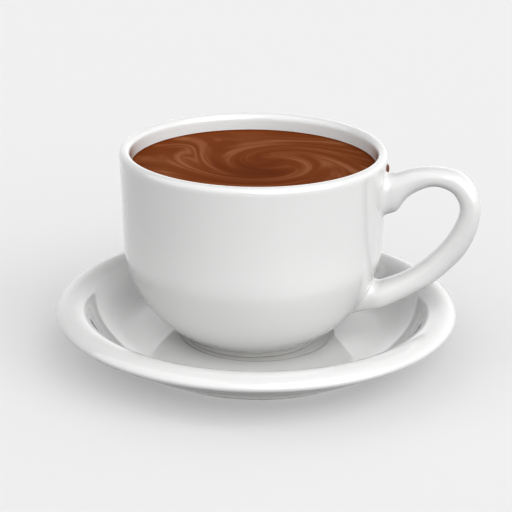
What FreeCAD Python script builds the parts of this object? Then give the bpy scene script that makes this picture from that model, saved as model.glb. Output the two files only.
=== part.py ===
import FreeCAD, Part
import math
import os

os.makedirs("parts", exist_ok=True)

# Hot chocolate in a round-bellied porcelain cup, standing on its saucer. Millimetres.
# The saucer's foot ring stands on Z = 0 and its axis is the Z axis. The handle points along +X.

# Saucer: a flat well, a coved wall and a thick rolled rim.
saucer_radius = 73.2          # widest circle of the rolled rim
saucer_height = 20.2          # crest of the rolled rim above the table
rim_roll_radius = 6.8         # rounding over the crest
rim_roll_width = 5.7          # crest to widest circle
rim_edge_radius = 1.5         # rounding of the outer edge
rim_thickness = 5.0           # crest to the hollow under it
cove_width = 22.5             # edge of the flat well to the crest
well_height = 6.7             # top of the flat well above the table
floor_thickness = 4.0         # of the well and the coved wall
saucer_foot_outset = 1.4      # outside of the foot ring beyond the edge of the flat well
saucer_foot_width = 3.6
saucer_foot_round = 0.8

# Seat of the cup: a shallow ring in the well.
recess_depth = 0.6
recess_clearance = 4.6        # between the cup's foot and the edge of the recess
cup_off_centre = 1.5          # the cup stands this far from the saucer's axis, away from the handle

# Cup: a foot ring, a bowl that is one round sweep, and a nearly upright wall.
cup_height = 70.6
rim_radius = 47.7             # outside of the wall where the lip begins
belly_radius = 46.8           # outside of the bowl at its widest
belly_height = 37.6           # where the bowl would stand upright
cup_foot_radius = 24.6        # outside of the foot ring on its seat
cup_foot_flare = 0.6          # how much wider the foot ring is where it meets the bowl
cup_foot_height = 2.0
cup_foot_width = 3.2
wall = 3.8
base_thickness = 4.5

# Drink
drink_level = 6.3             # surface below the top of the lip

# Handle: an ear in the XZ plane, thicker and wider where it grows out of the cup.
upper_root_top = 6.6          # below the top of the lip
upper_root_bottom = 21.0
lower_root_bottom = 8.0       # above the cup's foot
lower_root_top = 23.0
root_depth = 1.2              # how far the roots run into the wall
root_width = 12.5             # across both roots
crown_drop = 2.5              # highest point of the handle below the top of the lip
handle_reach = 33.2           # outermost point of the handle beyond the wall
handle_width = 9.2
section_squareness = 2.3      # 2 is an ellipse, more is squarer
section_points = 16           # of each rounded outline along the handle


def vec(r, z):
    return FreeCAD.Vector(r, 0, z)


def on_circle(centre, radius, degrees):
    a = math.radians(degrees)
    return centre + vec(radius * math.cos(a), radius * math.sin(a))


def arc(centre, radius, start, end):
    """Edge of a circle in the XZ plane, from one angle to another in degrees."""
    middle = (start + end) / 2
    return Part.Arc(*[on_circle(centre, radius, a) for a in (start, middle, end)]).toShape()


def line(a, b):
    return Part.LineSegment(a, b).toShape()


def turned(edges):
    """Solid of revolution about the Z axis, with its seam along -X, away from the handle."""
    face = Part.Face(Part.Wire(edges))
    solid = face.revolve(FreeCAD.Vector(0, 0, 0), FreeCAD.Vector(0, 0, 1), 360)
    solid.rotate(FreeCAD.Vector(0, 0, 0), FreeCAD.Vector(0, 0, 1), 180)
    return solid


# %% Saucer

crest_radius = saucer_radius - rim_roll_width
well_radius = crest_radius - cove_width
recess_radius = cup_foot_radius + recess_clearance
recess_height = well_height - recess_depth


def make_saucer():
    roll = vec(crest_radius, saucer_height - rim_roll_radius)
    edge_run = saucer_radius - rim_edge_radius - crest_radius
    edge_rise = math.sqrt((rim_roll_radius - rim_edge_radius) ** 2 - edge_run ** 2)
    edge = roll + vec(edge_run, edge_rise)
    edge_angle = math.degrees(math.atan2(edge_rise, edge_run))

    # The cove is tangent to the flat well and to the rolled rim.
    drop = roll.z - well_height
    cove_radius = (cove_width ** 2 + drop ** 2 - rim_roll_radius ** 2) / (2 * (drop + rim_roll_radius))
    cove = vec(well_radius, well_height + cove_radius)
    slope = math.degrees(math.atan2(cove_width, cove.z - roll.z))

    under_radius = cove_radius + floor_thickness
    under_end = on_circle(cove, under_radius, slope - 90)
    hollow = vec(crest_radius, saucer_height - rim_thickness)
    edge_low = on_circle(edge, rim_edge_radius, -90)

    foot_radius = well_radius + saucer_foot_outset
    foot_angle = math.degrees(math.asin(saucer_foot_outset / under_radius)) - 90
    foot_top = on_circle(cove, under_radius, foot_angle)
    foot_inside = foot_radius - saucer_foot_width
    floor = well_height - floor_thickness
    k = saucer_foot_round

    return turned([
        line(vec(0, recess_height), vec(recess_radius - recess_depth, recess_height)),
        line(vec(recess_radius - recess_depth, recess_height), vec(recess_radius, well_height)),
        line(vec(recess_radius, well_height), vec(well_radius, well_height)),
        arc(cove, cove_radius, -90, slope - 90),
        arc(roll, rim_roll_radius, slope + 90, edge_angle),
        arc(edge, rim_edge_radius, edge_angle, -90),
        Part.Arc(edge_low, hollow, under_end).toShape(),
        arc(cove, under_radius, slope - 90, foot_angle),
        line(foot_top, vec(foot_radius, k)),
        arc(vec(foot_radius - k, k), k, 0, -90),
        line(vec(foot_radius - k, 0), vec(foot_inside + k, 0)),
        arc(vec(foot_inside + k, k), k, -90, -180),
        line(vec(foot_inside, k), vec(foot_inside, floor)),
        line(vec(foot_inside, floor), vec(0, floor)),
        line(vec(0, floor), vec(0, recess_height)),
    ])


# %% Cup and drink, made about their own axis with the foot on Z = 0

foot_joint = vec(cup_foot_radius + cup_foot_flare, cup_foot_height)
bowl_run = belly_radius - foot_joint.x
bowl_rise = belly_height - cup_foot_height
bowl_radius = (bowl_run ** 2 + bowl_rise ** 2) / (2 * bowl_run)
bowl = vec(belly_radius - bowl_radius, belly_height)
rim_point = vec(rim_radius, cup_height - wall / 2)


def angle_of(point, centre):
    return math.degrees(math.atan2(point.z - centre.z, point.x - centre.x))


# The wall is a straight line from the lip, tangent to the bowl.
wall_angle = angle_of(rim_point, bowl) - math.degrees(math.acos(bowl_radius / (rim_point - bowl).Length))
outward = on_circle(vec(0, 0), 1, wall_angle)
upward = on_circle(vec(0, 0), 1, wall_angle + 90)
foot_angle = angle_of(foot_joint, bowl)
inner_radius = bowl_radius - wall
cup_floor = cup_foot_height + base_thickness
inner_floor_angle = -math.degrees(math.asin((bowl.z - cup_floor) / inner_radius))
drink_height = cup_height - drink_level


def outer_point(height):
    """Point of the cup's outer face at a height, and the unit normal there."""
    tangent = on_circle(bowl, bowl_radius, wall_angle)
    if height > tangent.z:
        return tangent + upward * ((height - tangent.z) / upward.z), outward
    angle = -math.degrees(math.asin((bowl.z - height) / bowl_radius))
    return on_circle(bowl, bowl_radius, angle), on_circle(vec(0, 0), 1, angle)


def inner_edges(top):
    """Floor, bowl and wall of the cavity, from the axis up to a point on the inner wall."""
    start = on_circle(bowl, inner_radius, inner_floor_angle)
    tangent = on_circle(bowl, inner_radius, wall_angle)
    return [
        line(vec(0, cup_floor), start),
        arc(bowl, inner_radius, inner_floor_angle, wall_angle),
        line(tangent, top),
    ]


def make_cup_body():
    lip_inside = rim_point - outward * wall
    lip_top = rim_point - outward * (wall / 2) + upward * (wall / 2)
    ring_inside = cup_foot_radius - cup_foot_width
    return turned([
        line(vec(0, cup_foot_height), vec(ring_inside, cup_foot_height)),
        line(vec(ring_inside, cup_foot_height), vec(ring_inside, 0)),
        line(vec(ring_inside, 0), vec(cup_foot_radius, 0)),
        line(vec(cup_foot_radius, 0), foot_joint),
        arc(bowl, bowl_radius, foot_angle, wall_angle),
        line(on_circle(bowl, bowl_radius, wall_angle), rim_point),
        Part.Arc(rim_point, lip_top, lip_inside).toShape(),
        *inner_edges(lip_inside)[::-1],
        line(vec(0, cup_floor), vec(0, cup_foot_height)),
    ])


def make_drink():
    lip_inside = rim_point - outward * wall
    surface_edge = lip_inside - upward * ((lip_inside.z - drink_height) / upward.z)
    return turned([
        *inner_edges(surface_edge),
        line(surface_edge, vec(0, drink_height)),
        line(vec(0, drink_height), vec(0, cup_floor)),
    ])


# %% Handle

def section(outer, inner, width):
    """Closed rounded outline between a point of the ear's outer line and one of its inner line."""
    centre = (outer + inner) / 2
    half = (outer - inner) / 2
    points = []
    for step in range(section_points):
        a = 2 * math.pi * step / section_points
        c, s = math.cos(a), math.sin(a)
        size = (abs(c) ** section_squareness + abs(s) ** section_squareness) ** (-1 / section_squareness)
        points.append(centre + half * (c * size) + FreeCAD.Vector(0, s * size * width / 2, 0))
    curve = Part.BSplineCurve()
    curve.interpolate(Points=points, PeriodicFlag=True)
    return Part.Wire([curve.toShape()])


def in_wall(height):
    """Point a little inside the cup's outer face at a height."""
    point, normal = outer_point(height)
    return point - normal * root_depth


def make_handle():
    low = (lower_root_bottom + lower_root_top) / 2
    crown = cup_height - crown_drop

    def place(across, up):
        return vec(rim_radius + handle_reach * across, low + (crown - low) * up)

    # Side view of the ear, from the upper neck to the lower one. Each row is a point of the outer
    # line, the point of the inner line across from it (both as shares of the reach and of the
    # rise from the middle of the lower root to the crown) and how far the width has grown.
    rows = [
        (0.13, 0.950, 0.14, 0.690, 0.7),
        (0.28, 0.982, 0.26, 0.795, 0.3),
        (0.49, 1.000, 0.48, 0.868, 0.0),
        (0.75, 0.978, 0.65, 0.852, 0.0),
        (0.92, 0.890, 0.74, 0.803, 0.0),
        (1.00, 0.750, 0.78, 0.733, 0.0),
        (0.98, 0.590, 0.755, 0.640, 0.0),
        (0.885, 0.435, 0.68, 0.540, 0.1),
        (0.74, 0.312, 0.57, 0.437, 0.2),
        (0.54, 0.185, 0.40, 0.325, 0.4),
        (0.30, 0.078, 0.21, 0.236, 0.6),
        (0.06, -0.010, -0.02, 0.165, 0.9),
    ]
    upper_root = section(
        in_wall(cup_height - upper_root_top), in_wall(cup_height - upper_root_bottom), root_width)
    lower_root = section(in_wall(lower_root_bottom), in_wall(lower_root_top), root_width)
    ear = [
        section(place(a, b), place(c, d), handle_width + (root_width - handle_width) * share ** 2)
        for a, b, c, d, share in rows
    ]
    return Part.makeLoft([upper_root, *ear, lower_root], True, False)


def make_cup():
    """The cup with its handle, one piece of porcelain, which stays out of the drink's place."""
    return make_cup_body().fuse(make_handle().cut(make_drink()))


# %% The three pieces in place

def save(shape, node):
    print(node, shape.isValid(), len(shape.Solids), round(shape.Volume / 1000, 1), "cm3")
    shape.exportStep("parts/" + node + ".step")


seat = FreeCAD.Vector(-cup_off_centre, 0, recess_height)
save(make_saucer(), "saucer")
save(make_cup().translated(seat), "cup")
save(make_drink().translated(seat), "drink")
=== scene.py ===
# %% [markdown]
# # Hot chocolate in a cup on its saucer
#
# A large porcelain cup, full of hot chocolate, stands on its saucer. All of the crockery is
# round, so this lesson draws half an outline of each piece and turns it about an upright
# line, as a potter's wheel does. The handle is drawn ring by ring and grown onto the cup.
#
# The frame below holds the solid pieces at their real size. The new pieces fit them.

# %% Load the frame
import math

import bmesh
import bpy
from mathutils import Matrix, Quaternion, Vector
from mathutils.geometry import interpolate_bezier


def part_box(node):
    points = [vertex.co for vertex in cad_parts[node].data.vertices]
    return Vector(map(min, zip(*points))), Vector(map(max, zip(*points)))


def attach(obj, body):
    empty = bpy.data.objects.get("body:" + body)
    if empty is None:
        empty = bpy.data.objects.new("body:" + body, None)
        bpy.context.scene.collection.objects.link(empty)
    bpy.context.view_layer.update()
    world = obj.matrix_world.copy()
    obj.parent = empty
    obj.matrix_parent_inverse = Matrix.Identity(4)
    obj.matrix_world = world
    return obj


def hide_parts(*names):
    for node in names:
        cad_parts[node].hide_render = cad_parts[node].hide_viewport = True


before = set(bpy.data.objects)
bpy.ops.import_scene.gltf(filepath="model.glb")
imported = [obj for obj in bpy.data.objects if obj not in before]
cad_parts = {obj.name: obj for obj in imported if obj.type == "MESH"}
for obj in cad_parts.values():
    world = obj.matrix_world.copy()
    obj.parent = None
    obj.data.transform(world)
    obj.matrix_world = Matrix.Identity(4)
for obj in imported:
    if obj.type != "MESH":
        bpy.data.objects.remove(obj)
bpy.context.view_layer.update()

print("solid pieces:", sorted(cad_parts))

# %% [markdown]
# ## Sizes
#
# Blender counts in metres, and crockery is drawn in millimetres, so every size is a number
# of `mm`. The overall sizes are read from the frame. What the frame's boxes can't tell, such
# as the thickness of a wall or the rounding of an edge, has a value of its own.

# %% Overall sizes, from the frame
mm = 0.001

saucer_low, saucer_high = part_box("saucer")
cup_low, cup_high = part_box("cup")
_, drink_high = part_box("drink")

saucer_radius = (saucer_high.y - saucer_low.y) / 2
saucer_height = saucer_high.z
rim_radius = (cup_high.y - cup_low.y) / 2
cup_axis = cup_low.x + rim_radius
cup_height = cup_high.z - cup_low.z
handle_reach = cup_high.x - cup_axis - rim_radius
drink_height = drink_high.z - cup_low.z

print(f"saucer {2 * saucer_radius / mm:.0f} mm across, cup {2 * rim_radius / mm:.0f} mm across")

# %% [markdown]
# ## Camera
#
# The camera looks down on the cup at about 20 degrees, with the handle to the right and
# turned slightly towards the viewer. A long lens keeps the round shapes calm.
# `to_track_quat` points the camera's -Z axis at the aim, and one more turn about the same
# axis gives the slight tilt of a camera held by hand.

# %% Camera
view_turn = math.radians(12.0)
view_distance = 532.7 * mm
view_height = 236.2 * mm
aim_height = 35.5 * mm
aim_right = 1.15 * mm
view_tilt = math.radians(0.617)
lens_mm = 110.0

toward_viewer = Vector((math.sin(view_turn), -math.cos(view_turn), 0))
rightward = Vector((math.cos(view_turn), math.sin(view_turn), 0))
cup_centre = Vector((cup_axis, 0, 0))

camera_data = bpy.data.cameras.new("camera")
camera_data.lens = lens_mm
camera = bpy.data.objects.new("camera", camera_data)
bpy.context.scene.collection.objects.link(camera)
camera.location = cup_centre + toward_viewer * view_distance + Vector((0, 0, view_height))
aim = cup_centre + rightward * aim_right + Vector((0, 0, aim_height))
looking = (aim - camera.location).to_track_quat("-Z", "Y")
camera.rotation_euler = (looking @ Quaternion((0, 0, 1), view_tilt)).to_euler()
bpy.context.scene.camera = camera
print("camera at", [round(v, 3) for v in camera.location])

# %% [markdown]
# ## Drawing an outline
#
# A turned shape needs only half of its outline, drawn in the XZ plane. The pen starts as one
# vertex. `extrude_vert_indiv` draws a straight line from its tip, and `spin` swings the tip
# round a centre to draw an arc, in as many steps as the curve needs to look smooth.
# Arcs that share a tangent join with no visible corner, and glaze shows every corner.

# %% The pen
arc_step = 1.3 * mm


def point(x, z):
    return Vector((x, 0, z))


def on_circle(centre, radius, angle):
    return centre + point(radius * math.cos(angle), radius * math.sin(angle))


class Pen:
    """Draws an outline in the XZ plane. Angles turn from +X towards +Z."""

    def __init__(self, start):
        self.mesh = bmesh.new()
        self.tip = self.mesh.verts.new(start)

    def line(self, end, step=4 * mm):
        reach = end - self.tip.co
        count = max(1, round(reach.length / step))
        for _ in range(count):
            self.tip = bmesh.ops.extrude_vert_indiv(self.mesh, verts=[self.tip])["verts"][0]
            bmesh.ops.translate(self.mesh, verts=[self.tip], vec=reach / count)

    def arc(self, centre, turn):
        """Swings the tip round a centre by an angle."""
        length = (self.tip.co - centre).length * abs(turn)
        swung = bmesh.ops.spin(
            self.mesh, geom=[self.tip], cent=centre, axis=(0, -1, 0), angle=turn,
            steps=max(4, round(length / arc_step)))
        self.tip = next(v for v in swung["geom_last"] if isinstance(v, bmesh.types.BMVert))

    def corner(self, at, end, radius):
        """Draws to a corner and on to a point, with the corner rounded by an arc."""
        arrive = (at - self.tip.co).normalized()
        leave = (end - at).normalized()
        turn = math.atan2(arrive.x * leave.z - arrive.z * leave.x, arrive.dot(leave))
        cut = radius * abs(math.tan(turn / 2))
        side = math.copysign(1, turn)
        start = at - arrive * cut
        self.line(start)
        self.arc(start + point(-arrive.z, arrive.x) * radius * side, turn)
        self.line(end)


print("a step along an arc is about", round(arc_step / mm, 2), "mm")

# %% [markdown]
# ## Turning an outline
#
# `spin` copies the outline round the upright axis and fills faces between the copies.
# `use_merge` joins the last copy to the first, so that no seam is left. Where the outline
# touches the axis all the copies meet at one spot, and `remove_doubles` makes them one
# vertex. Only then are the normals made to point outwards.

# %% The wheel
around = 192
weld_distance = 0.01 * mm


def turn(outline):
    """Spins an outline a full turn about the upright axis and closes its poles."""
    bmesh.ops.spin(
        outline, geom=outline.verts[:] + outline.edges[:], cent=(0, 0, 0),
        axis=(0, 0, 1), angle=2 * math.pi, steps=around, use_merge=True)
    bmesh.ops.remove_doubles(outline, verts=outline.verts[:], dist=weld_distance)
    bmesh.ops.recalc_face_normals(outline, faces=outline.faces[:])
    return outline


def finished(mesh, name):
    """Makes a piece of a bmesh, smooth all over, and puts it in the scene."""
    data = bpy.data.meshes.new(name)
    mesh.to_mesh(data)
    mesh.free()
    data.shade_smooth()
    piece = bpy.data.objects.new(name, data)
    bpy.context.scene.collection.objects.link(piece)
    open_edges = sum(1 for count in edge_uses(data).values() if count != 2)
    print(name, len(data.polygons), "faces,", open_edges, "open edges")
    return piece


def edge_uses(data):
    """How many faces use each edge: two everywhere on a closed skin."""
    uses = {}
    for polygon in data.polygons:
        for key in polygon.edge_keys:
            uses[key] = uses.get(key, 0) + 1
    return uses


# %% [markdown]
# ## Saucer
#
# The saucer is pressed from one sheet of clay: a flat well with a shallow seat for the cup,
# a coved wall, and a thick rim rolled over at the edge. It stands on a foot ring. The cove is
# tangent to the well and to the roll, which makes its radius a matter of sums, not of taste.
# Every edge is rounded, because glaze pulls back from a sharp one.

# %% Saucer sizes
rim_roll_radius = 6.8 * mm
rim_roll_width = 5.7 * mm
rim_edge_radius = 1.5 * mm
rim_thickness = 5.0 * mm
cove_width = 22.5 * mm
well_height = 6.7 * mm
floor_thickness = 4.0 * mm
saucer_foot_outset = 1.4 * mm
saucer_foot_width = 3.6 * mm
saucer_foot_round = 0.8 * mm
seat_height = cup_low.z
seat_radius = 29.2 * mm
seat_round = 2.2 * mm

crest_radius = saucer_radius - rim_roll_width
well_radius = crest_radius - cove_width
print("the saucer's well is", round(2 * well_radius / mm, 1), "mm across")


# %% Saucer outline
def saucer_outline():
    roll = point(crest_radius, saucer_height - rim_roll_radius)
    edge_run = saucer_radius - rim_edge_radius - crest_radius
    edge_rise = math.sqrt((rim_roll_radius - rim_edge_radius) ** 2 - edge_run ** 2)
    edge = roll + point(edge_run, edge_rise)
    edge_angle = math.atan2(edge_rise, edge_run)

    drop = roll.z - well_height
    cove_radius = (cove_width ** 2 + drop ** 2 - rim_roll_radius ** 2) / (2 * (drop + rim_roll_radius))
    cove = point(well_radius, well_height + cove_radius)
    slope = math.atan2(cove_width, cove.z - roll.z)

    seat_step = well_height - seat_height
    seat_turn = math.acos(1 - seat_step / (2 * seat_round))
    seat_edge = seat_radius - 2 * seat_round * math.sin(seat_turn)

    pen = Pen(point(0, seat_height))
    pen.line(point(seat_edge, seat_height))
    pen.arc(pen.tip.co + point(0, seat_round), seat_turn)
    pen.arc(point(seat_radius, well_height - seat_round), -seat_turn)
    pen.line(point(well_radius, well_height))
    pen.arc(cove, slope)
    pen.arc(roll, edge_angle - slope - math.pi / 2)
    pen.arc(edge, -math.pi / 2 - edge_angle)
    draw_underside(pen, cove, cove_radius + floor_thickness, slope)
    return pen.mesh


def draw_underside(pen, cove, under_radius, slope):
    """The hollow under the roll, the back of the cove and the foot ring, in to the axis."""
    under_top = on_circle(cove, under_radius, slope - math.pi / 2)
    foot_radius = well_radius + saucer_foot_outset
    foot_turn = math.asin(saucer_foot_outset / under_radius)
    under_foot = on_circle(cove, under_radius, foot_turn - math.pi / 2)
    foot_inside = foot_radius - saucer_foot_width
    underside = well_height - floor_thickness
    foot_middle = point(foot_radius - saucer_foot_width / 2, 0)
    hollow = point(crest_radius, saucer_height - rim_thickness)
    # The sweep of the back stops short of the foot ring, to leave room for a rounded corner.
    neck = 2 * saucer_foot_round / under_radius

    pen.corner(hollow, under_top, rim_roll_radius / 2)
    pen.arc(cove, foot_turn + neck - slope)
    pen.corner(under_foot, point(foot_radius, under_foot.z / 2), saucer_foot_round)
    pen.corner(point(foot_radius, 0), foot_middle, saucer_foot_round)
    pen.corner(point(foot_inside, 0), point(foot_inside, underside / 2), saucer_foot_round)
    pen.corner(point(foot_inside, underside), point(0, underside), saucer_foot_round)


# %% Saucer
saucer = finished(turn(saucer_outline()), "saucer_glazed")

# %% [markdown]
# ## Cup
#
# The bowl is one round sweep from the foot ring to the belly, and a nearly upright wall
# carries it on to the lip. The wall is a straight line, tangent to the sweep. Its outside and
# its inside are the same curve, one wall apart.

# %% Cup sizes
belly_radius = 46.8 * mm
belly_height = 37.6 * mm
cup_foot_radius = 24.6 * mm
cup_foot_flare = 0.6 * mm
cup_foot_height = 2.0 * mm
cup_foot_width = 3.2 * mm
cup_foot_round = 0.7 * mm
wall = 3.8 * mm
base_thickness = 4.5 * mm

foot_joint = point(cup_foot_radius + cup_foot_flare, cup_foot_height)
bowl_run = belly_radius - foot_joint.x
bowl_rise = belly_height - cup_foot_height
bowl_radius = (bowl_run ** 2 + bowl_rise ** 2) / (2 * bowl_run)
bowl = point(belly_radius - bowl_radius, belly_height)
lip = point(rim_radius, cup_height - wall / 2)
to_lip = lip - bowl
wall_angle = math.atan2(to_lip.z, to_lip.x) - math.acos(bowl_radius / to_lip.length)
outward = on_circle(point(0, 0), 1, wall_angle)
upward = on_circle(point(0, 0), 1, wall_angle + math.pi / 2)
cup_floor = cup_foot_height + base_thickness
print("the bowl's sweep has a radius of", round(bowl_radius / mm, 1), "mm")


# %% Cup outline
def cup_outline():
    """Half the cup's outline, with its axis on X = 0 and its foot on Z = 0."""
    ring_inside = cup_foot_radius - cup_foot_width
    ring_middle = point(cup_foot_radius - cup_foot_width / 2, 0)
    foot_angle = math.atan2(foot_joint.z - bowl.z, foot_joint.x - bowl.x)
    inner_radius = bowl_radius - wall
    floor_angle = -math.asin((bowl.z - cup_floor) / inner_radius)

    pen = Pen(point(0, cup_foot_height))
    pen.corner(point(ring_inside, cup_foot_height), point(ring_inside, cup_foot_height / 2), cup_foot_round)
    pen.corner(point(ring_inside, 0), ring_middle, cup_foot_round)
    pen.corner(point(cup_foot_radius, 0), foot_joint, cup_foot_round)
    pen.arc(bowl, wall_angle - foot_angle)
    pen.line(lip, arc_step)
    pen.arc(lip - outward * (wall / 2), math.pi)
    pen.line(on_circle(bowl, inner_radius, wall_angle), arc_step)
    pen.arc(bowl, floor_angle - wall_angle)
    pen.line(point(0, cup_floor))
    return pen.mesh


# %% [markdown]
# ## Handle
#
# A potter pulls the handle, bends it into an ear, and joins both ends to the cup with wet
# clay, so it flows into the wall with no seam. To get that in a mesh, the handle isn't just
# pushed into the cup. Two windows are cut in the cup's wall, a ring of vertices is extruded
# along the ear, and both ends flare until they lie on the wall and are bridged to the
# windows. The result is one closed skin, and reflections run across it unbroken.
#
# The ear's side view is a few pairs of points: one on its outer line and one across from it
# on its inner line. Bezier spans between them make it smooth, with each handle set from the
# neighbouring points.

# %% Handle sizes
upper_root_top = cup_height - 6.6 * mm
upper_root_bottom = cup_height - 21.0 * mm
lower_root_bottom = 8.0 * mm
lower_root_top = 23.0 * mm
root_width = 12.5 * mm
root_flare = 2.2 * mm
flare_leave = 0.5       # how far a flare keeps to the wall, as a share of the gap it crosses
flare_arrive = 0.35     # and how far it keeps to the ear's own line
crown_drop = 2.5 * mm
handle_width = 9.2 * mm
section_squareness = 2.3
ring_points = 48
spans_between_rows = 5
flare_rings = 8

# %% The ear's side view
# Each row: outer point, inner point (across as a share of the reach, up as a share of the
# rise from the middle of the lower root to the crown), and how far the width has grown.
ear_rows = [
    (0.13, 0.950, 0.14, 0.690, 0.7),
    (0.28, 0.982, 0.26, 0.795, 0.3),
    (0.49, 1.000, 0.48, 0.868, 0.0),
    (0.75, 0.978, 0.65, 0.852, 0.0),
    (0.92, 0.890, 0.74, 0.803, 0.0),
    (1.00, 0.750, 0.78, 0.733, 0.0),
    (0.98, 0.590, 0.755, 0.640, 0.0),
    (0.885, 0.435, 0.68, 0.540, 0.1),
    (0.74, 0.312, 0.57, 0.437, 0.2),
    (0.54, 0.185, 0.40, 0.325, 0.4),
    (0.30, 0.078, 0.21, 0.236, 0.6),
    (0.06, -0.010, -0.02, 0.165, 0.9),
]
low = (lower_root_bottom + lower_root_top) / 2
crown = cup_height - crown_drop


def ear_point(across, up):
    return point(rim_radius + handle_reach * across, low + (crown - low) * up)


def squared_circle(step):
    """Cosine and sine of a ring's vertex, pushed out a little towards the corners."""
    angle = 2 * math.pi * step / ring_points
    c, s = math.cos(angle), math.sin(angle)
    size = (abs(c) ** section_squareness + abs(s) ** section_squareness) ** (-1 / section_squareness)
    return c * size, s * size


def section(outer, inner, width):
    """A ring of points between the outer and the inner line of the ear."""
    ring = []
    for step in range(ring_points):
        c, s = squared_circle(step)
        ring.append((outer + inner) / 2 + (outer - inner) / 2 * c + Vector((0, s * width / 2, 0)))
    return ring


def smooth_line(points, steps):
    """Points on Bezier spans through the given points, with the tangents of their neighbours."""
    ends = [2 * points[0] - points[1], *points, 2 * points[-1] - points[-2]]
    line = [points[0]]
    for before, start, end, after in zip(ends, ends[1:], ends[2:], ends[3:]):
        leave = start + (end - before) / 6
        arrive = end - (after - start) / 6
        line += interpolate_bezier(start, leave, arrive, end, steps + 1)[1:]
    return line


widths = [handle_width + (root_width - handle_width) * row[4] ** 2 for row in ear_rows]
outer_line = smooth_line([ear_point(row[0], row[1]) for row in ear_rows], spans_between_rows)
inner_line = smooth_line([ear_point(row[2], row[3]) for row in ear_rows], spans_between_rows)
width_line = smooth_line([point(width, 0) for width in widths], spans_between_rows)
ear = [section(o, i, w.x) for o, i, w in zip(outer_line, inner_line, width_line)]
print("the ear has", len(ear), "rings of", ring_points, "points")


# %% Where the roots lie on the wall
def wall_point(y, height):
    """Point on the cup's outer face at a height, and at a distance round it from the XZ plane."""
    if height > bowl.z + bowl_radius * math.sin(wall_angle):
        radius = lip.x - (lip.z - height) * upward.x / upward.z
    else:
        radius = bowl.x + math.sqrt(bowl_radius ** 2 - (height - bowl.z) ** 2)
    return Vector((radius * math.cos(y / radius), radius * math.sin(y / radius), height))


def footprint(outer_height, inner_height, flare):
    """The ring in which a root meets the wall, wider than the root by a flare all round."""
    centre = (outer_height + inner_height) / 2
    half_height = (outer_height - inner_height) / 2
    half_height += math.copysign(flare, half_height)
    half_width = root_width / 2 + flare
    return [wall_point(s * half_width, centre + c * half_height)
            for c, s in map(squared_circle, range(ring_points))]


def flare_out(ring, next_ring, foot):
    """Rings from a footprint on the wall to the ear's first ring, tangent to both."""
    middle = sum(foot, Vector()) / ring_points
    paths = []
    for end, beyond, start in zip(ring, next_ring, foot):
        gap = (end - start).length
        leave = start + (middle - start).normalized() * gap * flare_leave
        arrive = end + (end - beyond).normalized() * gap * flare_arrive
        paths.append(interpolate_bezier(start, leave, arrive, end, flare_rings + 1))
    return [list(ring) for ring in zip(*paths)][:-1]


upper_foot = footprint(upper_root_top, upper_root_bottom, root_flare)
lower_foot = footprint(lower_root_bottom, lower_root_top, root_flare)
upper_flare = flare_out(ear[0], ear[1], upper_foot)
lower_flare = flare_out(ear[-1], ear[-2], lower_foot)
handle_rings = [*upper_flare, *ear, *lower_flare[::-1]]
print("with its flared ends the handle has", len(handle_rings), "rings")


# %% Grow the handle onto the cup
def ring_edges(verts):
    """The edges that join each vertex of a ring to the next."""
    return [e for a, b in zip(verts, verts[1:] + verts[:1]) for e in a.link_edges if b in e.verts]


def add_handle(mesh):
    """Extrudes a ring of vertices through all the rings of the handle."""
    made = bmesh.ops.create_circle(mesh, segments=ring_points, radius=1)
    first = made["verts"]
    for vert, place in zip(first, handle_rings[0]):
        vert.co = place
    ring = first
    for places in handle_rings[1:]:
        grown = bmesh.ops.extrude_edge_only(mesh, edges=ring_edges(ring))["geom"]
        fresh = {v for v in grown if isinstance(v, bmesh.types.BMVert)}
        ring = [next(e.other_vert(v) for e in v.link_edges if e.other_vert(v) in fresh) for v in ring]
        for vert, place in zip(ring, places):
            vert.co = place
    return first, ring


def cut_window(mesh, foot):
    """Removes the wall's outer faces behind a footprint and gives the edges round the window."""
    margin = arc_step
    outer = 0.2     # an outer face looks at least this much towards the handle
    low_z = min(p.z for p in foot) - margin
    high_z = max(p.z for p in foot) + margin
    half_y = max(p.y for p in foot) + margin

    def behind(face):
        centre = face.calc_center_median()
        faces_out = centre.x > 0 and face.normal.x > outer
        return faces_out and low_z < centre.z < high_z and abs(centre.y) < half_y

    window = {f for f in mesh.faces if behind(f)}
    edges = {e for f in window for e in f.edges}
    round_it = [e for e in edges if not window.issuperset(e.link_faces)]
    bmesh.ops.delete(mesh, geom=list(window), context="FACES")
    return sorted(round_it, key=lambda e: e.index)


cup_mesh = turn(cup_outline())
cup_mesh.edges.index_update()
upper_window = cut_window(cup_mesh, upper_foot)
lower_window = cut_window(cup_mesh, lower_foot)
upper_ring, lower_ring = add_handle(cup_mesh)
bmesh.ops.bridge_loops(cup_mesh, edges=upper_window + ring_edges(upper_ring))
bmesh.ops.bridge_loops(cup_mesh, edges=lower_window + ring_edges(lower_ring))
bmesh.ops.recalc_face_normals(cup_mesh, faces=cup_mesh.faces[:])
bmesh.ops.translate(cup_mesh, verts=cup_mesh.verts[:], vec=(cup_axis, 0, cup_low.z))
cup = finished(cup_mesh, "cup_glazed")


# %% [markdown]
# ## Drink
#
# The drink fills the cup up to about 6 mm under the lip. Its body follows the inside of
# the wall and reaches a hair into it, so that no gap shows. A liquid that wets the wall
# climbs it a little, and this thin rim of drink, the meniscus, is what makes a surface look
# wet and not like a painted disc.
#
# `visible_diffuse` is turned off for the finished drink. Its brown would otherwise tint the
# white wall above it, which keeps its own colour under wide studio light.

# %% Drink sizes
wall_overlap = 0.15 * mm
meniscus_height = 0.7 * mm
meniscus_width = 2.2 * mm
surface_ring = 2.0 * mm


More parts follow.
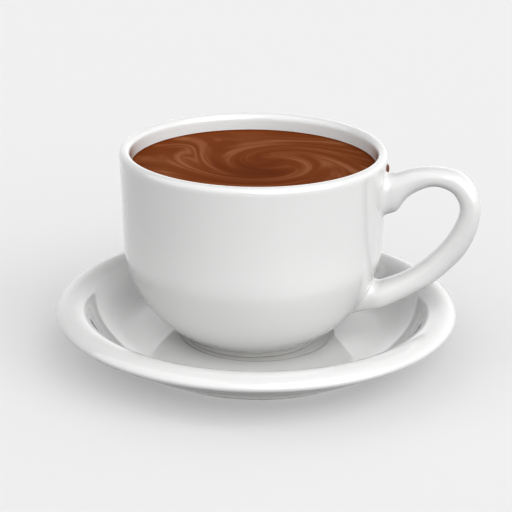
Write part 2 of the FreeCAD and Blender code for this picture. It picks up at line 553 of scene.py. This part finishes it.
# %% Drink outline
def drink_outline():
    inner_radius = bowl_radius - wall + wall_overlap
    bottom = cup_floor - wall_overlap
    floor_angle = -math.asin((bowl.z - bottom) / inner_radius)
    lip_inside = lip - outward * (wall - wall_overlap)
    level = drink_height - meniscus_height / 2
    edge_height = drink_height + meniscus_height / 2
    edge = lip_inside - upward * ((lip_inside.z - edge_height) / upward.z)
    meniscus_radius = (meniscus_width ** 2 + meniscus_height ** 2) / (2 * meniscus_height)
    meniscus_turn = math.asin(meniscus_width / meniscus_radius)

    pen = Pen(point(0, bottom))
    pen.line(on_circle(bowl, inner_radius, floor_angle))
    pen.arc(bowl, wall_angle - floor_angle)
    pen.line(edge)
    pen.arc(point(edge.x - meniscus_width, level + meniscus_radius), -meniscus_turn)
    pen.line(point(0, level), surface_ring)
    return pen.mesh


# %% Drink
drink_mesh = turn(drink_outline())
bmesh.ops.translate(drink_mesh, verts=drink_mesh.verts[:], vec=(cup_axis, 0, cup_low.z))
drink = finished(drink_mesh, "drink_surface")
drink.visible_diffuse = False

# %% [markdown]
# ## A dried drip
#
# One small drip has run over the lip and dried on the outside of the cup, just above the
# handle. It is a ball, squashed against the wall, narrow above and fuller below, where the
# drink gathered before it dried. `wall_point` bends it round the wall.

# %% Drip
drip_turn = math.radians(0.5)
drip_height = 66.0 * mm
drip_length = 3.6 * mm
drip_width = 2.2 * mm
drip_thickness = 0.8 * mm
drip_narrowing = 0.35   # how much narrower its top is than its middle
drip_segments = 24
drip_rings = 16


def make_drip():
    mesh = bmesh.new()
    bmesh.ops.create_uvsphere(mesh, u_segments=drip_segments, v_segments=drip_rings, radius=1)
    for vert in mesh.verts:
        width = (1 - drip_narrowing * vert.co.z) * drip_width
        place = wall_point(
            rim_radius * drip_turn + vert.co.y * width / 2,
            drip_height + vert.co.z * drip_length / 2)
        out = Vector((place.x, place.y, 0)).normalized()
        vert.co = place + out * vert.co.x * drip_thickness
    bmesh.ops.recalc_face_normals(mesh, faces=mesh.faces[:])
    bmesh.ops.translate(mesh, verts=mesh.verts[:], vec=(cup_axis, 0, cup_low.z))
    return finished(mesh, "dried_drip")


drip = make_drip()

# %% [markdown]
# ## Shader sums
#
# A node tree is a sum drawn as boxes. The small class below wraps a socket, so that the same
# sum can be written as Python: `1 - mask` adds its Math node. Its `node` method adds any
# other node: first the settings, because they change which sockets there are, and then the
# values or links of the sockets.

# %% Shader sums
class Wire:
    """A value, vector or colour on its way through a node tree."""

    def __init__(self, tree, socket=None):
        self.tree = tree
        self.socket = socket

    def node(self, kind, settings, inputs, output=0):
        made = self.tree.nodes.new(kind)
        for name, value in settings.items():
            setattr(made, name, value)
        for name, value in inputs.items():
            if isinstance(value, Wire):
                self.tree.links.new(value.socket, made.inputs[name])
            else:
                made.inputs[name].default_value = value
        return Wire(self.tree, made.outputs[output]) if made.outputs else None

    def maths(self, operation, *values):
        return self.node("ShaderNodeMath", {"operation": operation}, dict(enumerate(values)))

    def __add__(self, other):
        return self.maths("ADD", self, other)

    def __sub__(self, other):
        return self.maths("SUBTRACT", self, other)

    def __rsub__(self, other):
        return self.maths("SUBTRACT", other, self)

    def __mul__(self, other):
        return self.maths("MULTIPLY", self, other)

    def __truediv__(self, other):
        return self.maths("DIVIDE", self, other)

    def __pow__(self, other):
        return self.maths("POWER", self, other)

    __radd__ = __add__
    __rmul__ = __mul__


print("shader sums are ready")


# %% [markdown]
# Most finishes need the same few things: a new material with its coordinates, noise of a real
# size, a soft step between two values, a mix of two colours, and a bump of a real depth.

# %% Shader helpers
def new_material(name):
    """A material, the wire to start from, and the place of each spot on the piece."""
    material = bpy.data.materials.new(name)
    material.use_nodes = True
    material.node_tree.nodes.clear()
    wire = Wire(material.node_tree)
    place = wire.node("ShaderNodeTexCoord", {}, {}, "Object")
    return material, wire, place


def noise(place, size, detail=2.0, roughness=0.5):
    """Noise between 0 and 1, whose blobs are about a size across."""
    return place.node(
        "ShaderNodeTexNoise", {},
        {"Vector": place, "Scale": 1 / size, "Detail": detail, "Roughness": roughness}, "Fac")


def soft_step(value, low, high):
    """0 below low, 1 above high and smooth between them."""
    return value.node(
        "ShaderNodeMapRange", {"interpolation_type": "SMOOTHSTEP"},
        {"Value": value, "From Min": low, "From Max": high})


def mixed(factor, first, second):
    """A mix of two colours."""
    return factor.node("ShaderNodeMix", {"data_type": "RGBA"}, {0: factor, 6: first, 7: second}, 2)


def bumps(height, depth):
    """The surface's direction, tilted as if the height ran from 0 to a depth."""
    return height.node(
        "ShaderNodeBump", {}, {"Strength": 1.0, "Distance": depth, "Height": height}, "Normal")


def surface(wire, inputs):
    """Ends a tree with the surface shader and the output."""
    shader = wire.node("ShaderNodeBsdfPrincipled", {}, inputs)
    wire.node("ShaderNodeOutputMaterial", {}, {"Surface": shader})


def paint(piece, material):
    """Gives a piece its material."""
    piece.data.materials.clear()
    piece.data.materials.append(material)
    print(piece.name, "is painted with", material.name)


# %% [markdown]
# ## Porcelain
#
# Porcelain is white clay under clear glaze: a nearly white base, a mirror-smooth skin, and
# a little waviness where the glaze has run. The foot rings are wiped clean before firing, so
# that they don't stick to the kiln's shelf, and stay matte and a little warmer. The height
# of a spot tells bare clay from glaze, so the saucer and the cup share one recipe.

# %% Porcelain
glaze_white = (0.73, 0.73, 0.726, 1)
glaze_shade = (0.70, 0.70, 0.698, 1)
bare_clay = (0.74, 0.71, 0.66, 1)
shade_size = 25.0 * mm
wave_size = 9.0 * mm
wave_depth = 0.02 * mm
speckle_size = 2.5 * mm
bare_band = 0.35 * mm
bare_roughness = 0.55
glaze_polish = 0.47         # how much less rough the glaze is than bare clay
speckle_roughness = 0.03
clay_ior = 1.5
clay_shine = 0.25
glaze_ior = 1.6
glaze_roughness = 0.03


def porcelain(name, stands_at):
    material, wire, place = new_material(name)
    height = place.node("ShaderNodeSeparateXYZ", {}, {"Vector": place}, "Z")
    glazed = soft_step(height, stands_at + bare_band, stands_at + 2 * bare_band)
    speckle = noise(place, speckle_size, detail=3.0)
    waves = noise(place, wave_size, detail=1.0)
    glaze = mixed(noise(place, shade_size), glaze_white, glaze_shade)
    surface(wire, {
        "Base Color": mixed(glazed, bare_clay, glaze),
        "Roughness": bare_roughness - glazed * (glaze_polish - speckle * speckle_roughness),
        "IOR": clay_ior,
        "Specular IOR Level": clay_shine,
        "Coat Weight": glazed,
        "Coat Roughness": glaze_roughness,
        "Coat IOR": glaze_ior,
        "Normal": bumps(waves, wave_depth),
    })
    return material


paint(saucer, porcelain("porcelain_saucer", 0))
paint(cup, porcelain("porcelain_cup", cup_low.z))

# %% [markdown]
# ## Hot chocolate
#
# Stirred milk chocolate shows pale streaks of milk that the spoon has drawn into arcs, on
# brown that is deeper where the cocoa is thick. The streaks could be painted one by one.
# Here they are made as the spoon makes them: long straight streaks of noise are turned about
# two centres, most near each centre and less further out, and so wind up into swirls.
# Every place on the drink is measured from the middle of its surface.

# %% Stirring
spoon_turn = Vector((6.2 * mm, 4.4 * mm, 0))
spoon_reach = 19.0 * mm
spoon_turns = -0.62
side_turn = Vector((-22.9 * mm, 11.5 * mm, 0))
side_reach = 11.0 * mm
side_turns = 0.45


def near(place, centre, size):
    """1 at a centre, falling off smoothly to 0 a few sizes away."""
    distance = place.node(
        "ShaderNodeVectorMath", {"operation": "DISTANCE"}, {0: place, 1: centre}, "Value")
    return distance.maths("POWER", math.e, (distance / size) ** 2 * -1)


def stir(place, centre, size, turns):
    """Turns a pattern about a centre, by so many turns there and less further out."""
    angle = near(place, centre, size) * (2 * math.pi * turns)
    return place.node(
        "ShaderNodeVectorRotate", {"rotation_type": "Z_AXIS"},
        {"Vector": place, "Center": centre, "Angle": angle})


print("the spoon's swirl reaches about", round(2 * spoon_reach / mm), "mm from its centre")

# %% [markdown]
# The stirred streaks are noise at two sizes, drawn out four times as long as wide. Where both
# are high, milk shows. A patch of thick cocoa near the middle hides the streaks, and a paler
# patch lies at the back and another at the side. A ring of painted shade darkens the edge,
# where the drink meets the wall under the lip. The surface is rather dull, so its gloss is only
# a faint coat over matte brown.

# %% Chocolate colours, places and sizes
cocoa_deep = (0.145, 0.033, 0.0062, 1)
cocoa = (0.222, 0.064, 0.0160, 1)
milky = (0.350, 0.150, 0.073, 1)
drink_ior = 1.34
faint_gloss = 0.06
gloss_roughness = 0.12
thick_cocoa = Vector((0.9 * mm, -9.0 * mm, 0))
thick_cocoa_size = 15.0 * mm
thick_cocoa_strength = 0.65
hidden_streaks_size = 13.0 * mm
hidden_streaks_strength = 0.8
milk_at_back = Vector((-9.0 * mm, 32.8 * mm, 0))
milk_at_back_size = 9.0 * mm
milk_at_side = Vector((-28.0 * mm, -4.0 * mm, 0))
milk_at_side_size = 10.0 * mm
milk_strength = 0.25
streak_angle = math.radians(35)
streak_stretch = (0.25, 1, 1)
streak_size = 8.0 * mm
fine_streak_size = 2.6 * mm
fine_streak_share = 0.35
milk_from = 0.46        # noise at which milk begins to show
milk_full = 0.72        # and at which nothing else does
deep_from = 0.5         # noise under which the cocoa begins to deepen
deep_full = 0.3
deep_strength = 0.35
grain_size = 0.8 * mm
ripple_depth = 0.05 * mm
# Painted shade: a dark ring on the drink where it meets the wall, standing in for the shade under the lip.
painted_shade_edge_from = 42.2 * mm
painted_shade_edge_full = 43.6 * mm
painted_shade_edge_strength = 0.6
print("milk streaks are about", round(streak_size / mm), "mm wide before they are stirred")

# %% Hot chocolate

def hot_chocolate(name):
    material, wire, place = new_material(name)
    surface_middle = cup_centre + Vector((0, 0, cup_low.z + drink_height))
    flat = place.node("ShaderNodeVectorMath", {"operation": "SUBTRACT"}, {0: place, 1: surface_middle})
    stirred = stir(flat, spoon_turn, spoon_reach, spoon_turns)
    stirred = stir(stirred, side_turn, side_reach, side_turns)
    streaks = stirred.node("ShaderNodeMapping", {"vector_type": "POINT"}, {
        "Vector": stirred, "Rotation": (0, 0, streak_angle), "Scale": streak_stretch})
    broad = noise(streaks, streak_size, detail=2.0, roughness=0.45)
    fine = noise(streaks, fine_streak_size, detail=3.0)
    grain = noise(place, grain_size, detail=3.0)

    pale = soft_step(broad + (fine - 0.5) * fine_streak_share, milk_from, milk_full)
    pale = pale * (1 - near(flat, thick_cocoa, hidden_streaks_size) * hidden_streaks_strength)
    pale = pale + near(flat, milk_at_back, milk_at_back_size) * milk_strength
    pale = pale + near(flat, milk_at_side, milk_at_side_size) * milk_strength
    deep = near(flat, thick_cocoa, thick_cocoa_size) * thick_cocoa_strength
    deep = deep + soft_step(broad, deep_from, deep_full) * deep_strength
    from_middle = flat.node("ShaderNodeVectorMath", {"operation": "LENGTH"}, {0: flat}, "Value")
    # Painted shade: the drink darkens towards the wall, where the lip shades it.
    edge = soft_step(from_middle, painted_shade_edge_from, painted_shade_edge_full)

    colour = mixed(deep, cocoa, cocoa_deep)
    colour = mixed(pale * (0.55 + grain * 0.5), colour, milky)
    colour = mixed(edge * painted_shade_edge_strength, colour, cocoa_deep)
    surface(wire, {
        "Base Color": colour,
        "Roughness": 0.36 + grain * 0.12,
        "IOR": drink_ior,
        "Specular IOR Level": 0.0,
        "Coat Weight": faint_gloss,
        "Coat Roughness": gloss_roughness,
        "Coat IOR": drink_ior,
        "Normal": bumps(broad, ripple_depth),
    })
    return material


paint(drink, hot_chocolate("hot_chocolate"))

# %% [markdown]
# The dried drip is the same chocolate without its water: darker, dull and a little crusty.


# %% Dried chocolate
dried_dark = (0.10, 0.028, 0.012, 1)
dried_pale = (0.20, 0.065, 0.03, 1)
crust_size = 0.5 * mm
crust_depth = 0.08 * mm
crust_smooth = 0.4
crust_rough = 0.7


def dried_chocolate(name):
    material, wire, place = new_material(name)
    crust = noise(place, crust_size, detail=4.0)
    surface(wire, {
        "Base Color": mixed(crust, dried_dark, dried_pale),
        "Roughness": crust_smooth + crust * (crust_rough - crust_smooth),
        "Normal": bumps(crust, crust_depth),
    })
    return material


paint(drip, dried_chocolate("dried_chocolate"))

# %% [markdown]
# ## Floor and light
#
# The floor is a wide pale sheet, far larger than the view, so that no horizon shows. It
# glows a little, which keeps its shadows faint. `visible_diffuse` is off, so it takes shadows
# and shows in the glaze, but lights nothing from below: the undersides stay a little darker,
# and round shapes read as round.

# %% Floor
floor_size = 8.0
floor_grey = 0.50
floor_glow = 0.338


def pale_floor(name):
    """A plain matte surface, which glows a little as a light table does."""
    material, wire, _ = new_material(name)
    surface(wire, {
        "Base Color": (floor_grey, floor_grey, floor_grey, 1),
        "Roughness": 0.9,
        "Specular IOR Level": 0.0,
        "Emission Color": (1, 1, 1, 1),
        "Emission Strength": floor_glow,
    })
    return material


floor_mesh = bmesh.new()
bmesh.ops.create_grid(floor_mesh, x_segments=1, y_segments=1, size=floor_size / 2)
floor = finished(floor_mesh, "floor")
floor.data.materials.append(pale_floor("pale_floor"))
floor.visible_diffuse = False

# %% [markdown]
# Glaze is a mirror: what makes it look like glaze is what it reflects. A large key light to
# the right of the camera draws the broad bright side of the bowl, and a weaker one fills in
# from the left. Both are suns with a wide disc, because a sun lights the whole floor evenly.

# %% Lights
def soft_sun(name, turn_right, height, disc, strength):
    """A soft light, turned from the camera's side to the right and raised by angles in degrees."""
    turn_right, height = math.radians(turn_right), math.radians(height)
    level = toward_viewer * math.cos(turn_right) + rightward * math.sin(turn_right)
    direction = level * math.cos(height) + Vector((0, 0, math.sin(height)))
    data = bpy.data.lights.new(name, "SUN")
    data.angle = math.radians(disc)
    data.energy = strength
    light = bpy.data.objects.new(name, data)
    light.location = direction
    light.rotation_euler = (-direction).to_track_quat("-Z", "Y").to_euler()
    bpy.context.scene.collection.objects.link(light)
    print(name, "comes from", [round(v, 2) for v in direction])


soft_sun("key", turn_right=38, height=30, disc=80, strength=2.75)
soft_sun("fill", turn_right=-55, height=30, disc=90, strength=1.25)

# %% [markdown]
# The studio round them is the world's colour, which changes with the direction one looks in.
# It is brightest at eye level, at the right and behind the cup, greyer overhead and nearly
# black below. A gamma under 1 then deepens the shades a little and leaves white as it is.

# %% Studio
studio_above = (0.34, 0.34, 0.34, 1)
studio_dark_side = (0.55, 0.55, 0.55, 1)
studio_bright_side = (1.25, 1.25, 1.25, 1)
studio_below = (0.05, 0.05, 0.05, 1)
side_band = (-0.5, 0.9)         # how far towards the bright side the light grows
floor_band = (-0.25, 0.05)      # heights between which it rises from below to eye level
ceiling_band = (0.2, 0.8)       # and from eye level to overhead

studio = bpy.data.worlds.new("studio")
studio.use_nodes = True
studio.node_tree.nodes.clear()
studio_wire = Wire(studio.node_tree)
direction = studio_wire.node("ShaderNodeTexCoord", {}, {}, "Generated")
height = direction.node("ShaderNodeSeparateXYZ", {}, {"Vector": direction}, "Z")
bright_side = (rightward - toward_viewer).normalized()
brightness = direction.node(
    "ShaderNodeVectorMath", {"operation": "DOT_PRODUCT"}, {0: direction, 1: bright_side}, "Value")
level = mixed(soft_step(brightness, *side_band), studio_dark_side, studio_bright_side)
lower = mixed(soft_step(height, *floor_band), studio_below, level)
whole = mixed(soft_step(height, *ceiling_band), lower, studio_above)
background = whole.node("ShaderNodeBackground", {}, {"Color": whole, "Strength": 1.0})
background.node("ShaderNodeOutputWorld", {}, {"Surface": background})
bpy.context.scene.world = studio
bpy.context.scene.view_settings.view_transform = "Standard"
bpy.context.scene.view_settings.gamma = 0.8
print("the studio is", studio_bright_side[0], "at its brightest and", studio_below[0], "below")

# %% [markdown]
# ## Fit to the frame
#
# Nothing on this object moves by itself, so every piece rides on the one body. Saucer, cup
# and drink each stand for a solid piece, which is then hidden. The drip stands for none.

# %% Fit to the frame
for piece in (saucer, cup, drink, drip):
    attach(piece, "root")
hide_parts("saucer")
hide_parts("cup")
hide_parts("drink")
